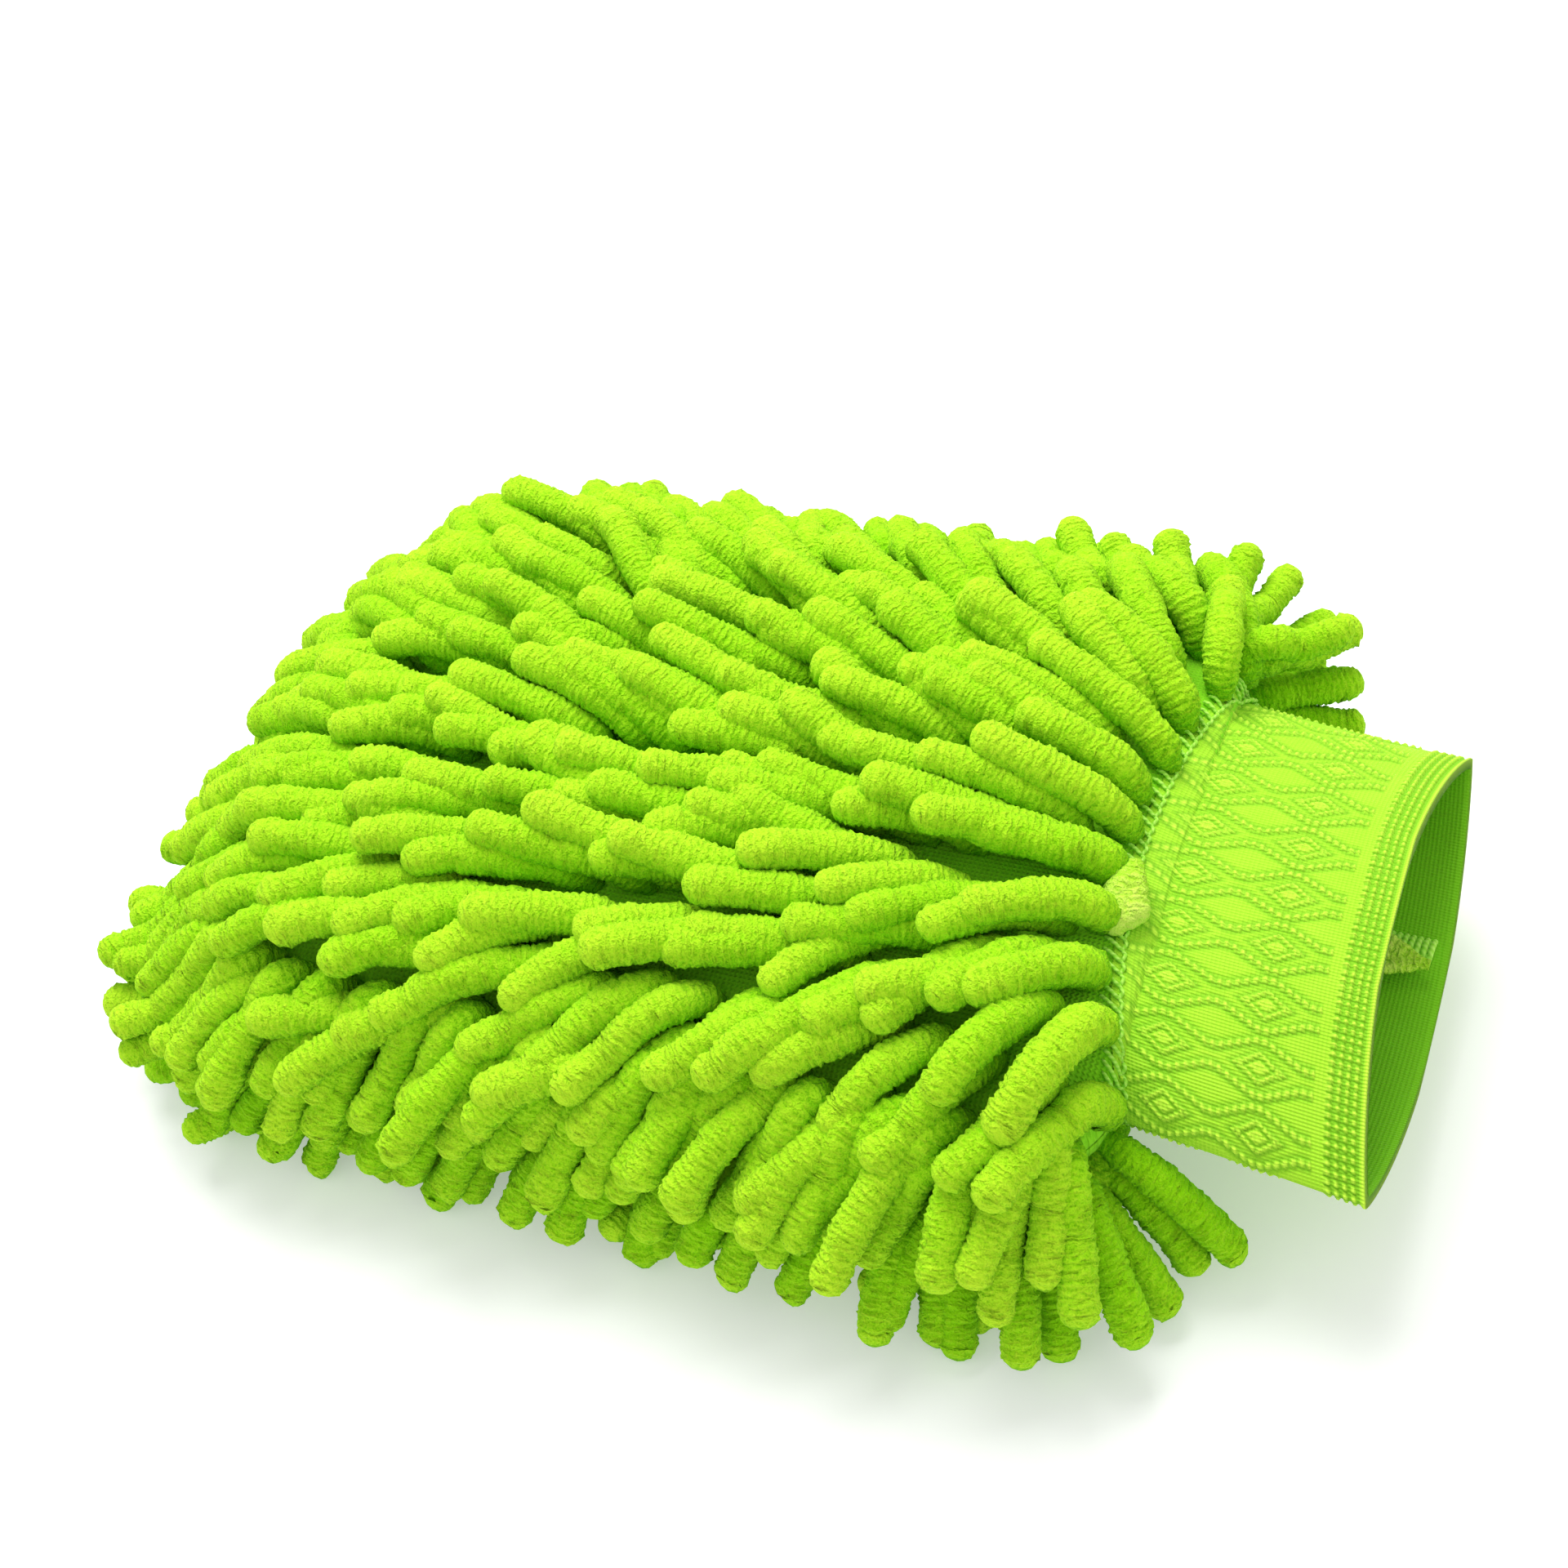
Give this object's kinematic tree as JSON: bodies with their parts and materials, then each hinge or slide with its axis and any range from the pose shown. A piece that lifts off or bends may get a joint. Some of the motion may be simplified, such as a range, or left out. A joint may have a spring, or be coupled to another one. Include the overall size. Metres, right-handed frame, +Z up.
{
  "type": "wash mitt",
  "caption": "Soft wash mitt lying flat, covered on both sides with chenille noodles, with a lined hand pocket and a stretch knitted cuff at the wrist.",
  "frame": {"origin": "middle of the mitt's footprint, on the surface that it lies on", "axes": "+X from the finger end towards the cuff, +Y across the mitt, +Z up from the surface"},
  "size_m": [0.2462, 0.168, 0.063],
  "materials": {
    "chenille": "soft chenille pile, fluffy and matt",
    "backing_cloth": "knitted backing cloth, matt",
    "lining_cloth": "plain knitted lining, matt",
    "elastic_knit": "jacquard elastic with raised stitches, slight sheen",
    "sewing_thread": "overlock thread and loose fibre"
  },
  "bodies": {
    "root": {"closing_seam_tail": "sewing_thread", "cuff_band": "elastic_knit", "cuff_closing_seam": "sewing_thread", "cuff_joining_seam": "backing_cloth", "cuff_topstitch": "sewing_thread", "edge_seam": "backing_cloth", "lower_fringe_far_shoulder": "chenille", "lower_fringe_far_side": "chenille", "lower_fringe_finger_end": "chenille", "lower_fringe_near_shoulder": "chenille", "lower_fringe_near_side": "chenille", "lower_lining": "lining_cloth", "lower_panel": "backing_cloth", "lower_row_01": "chenille", "lower_row_02": "chenille", "lower_row_03": "chenille", "lower_row_04": "chenille", "lower_row_05": "chenille", "lower_row_06": "chenille", "lower_row_07": "chenille", "lower_row_08": "chenille", "lower_row_09": "chenille", "lower_row_10": "chenille", "lower_row_11": "chenille", "lower_row_12": "chenille", "lower_row_13": "chenille", "seam_end_tuft": "sewing_thread", "upper_fringe_far_shoulder": "chenille", "upper_fringe_far_side": "chenille", "upper_fringe_finger_end": "chenille", "upper_fringe_near_shoulder": "chenille", "upper_fringe_near_side": "chenille", "upper_lining": "lining_cloth", "upper_panel": "backing_cloth", "upper_row_01": "chenille", "upper_row_02": "chenille", "upper_row_03": "chenille", "upper_row_04": "chenille", "upper_row_05": "chenille", "upper_row_06": "chenille", "upper_row_07": "chenille", "upper_row_08": "chenille", "upper_row_09": "chenille", "upper_row_10": "chenille", "upper_row_11": "chenille", "upper_row_12": "chenille", "upper_row_13": "chenille"}
  },
  "joints": []
}
